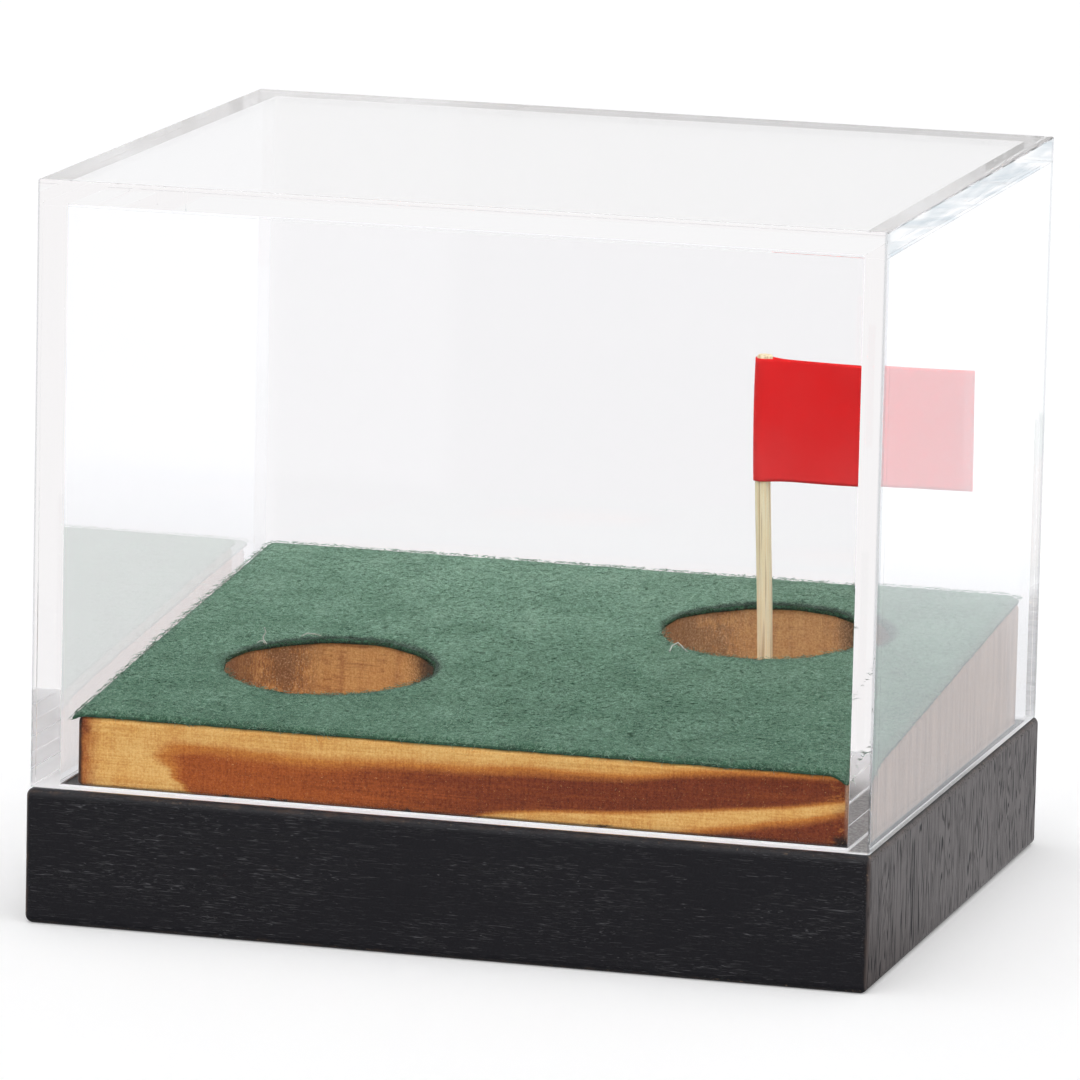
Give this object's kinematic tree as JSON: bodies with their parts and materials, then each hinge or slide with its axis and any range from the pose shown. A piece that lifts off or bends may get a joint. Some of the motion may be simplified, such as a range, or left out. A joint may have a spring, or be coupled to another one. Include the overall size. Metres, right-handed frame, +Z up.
{
  "type": "golf ball display case",
  "caption": "Clear lift-off box over a black wood-grain base, with a sloping felt-topped wooden block that has round cups for balls and a small red flag in one of them.",
  "frame": {"origin": "centre of the base board's underside, which the case stands on", "axes": "+X to the viewer's right along the long side, +Y to the back where the block is higher, +Z up"},
  "size_m": [0.16, 0.137, 0.1384],
  "materials": {
    "black_wood": "satin",
    "scorched_pine": "satin",
    "green_felt": "matte",
    "zinc_steel": "satin",
    "bamboo": "matte",
    "red_paper": "satin",
    "clear_acrylic": "polished"
  },
  "bodies": {
    "base": {"base_board": "black_wood", "wedge_block": "scorched_pine", "felt_sheet": "green_felt", "fixing_screws": "zinc_steel"},
    "cover": {"cover_top": "clear_acrylic", "cover_front": "clear_acrylic", "cover_back": "clear_acrylic", "cover_left": "clear_acrylic", "cover_right": "clear_acrylic"},
    "flag": {"flag_stick": "bamboo", "flag_leaf": "red_paper"}
  },
  "joints": [
    {"name": "cover_lift", "type": "slide", "parent": "base", "child": "cover", "axis": [0, 0, 1], "range_m": [0, 0.12]},
    {"name": "flag_pull", "type": "slide", "parent": "base", "child": "flag", "axis": [-0.0305, 0, 0.9995], "range_m": [0, 0.025]}
  ]
}
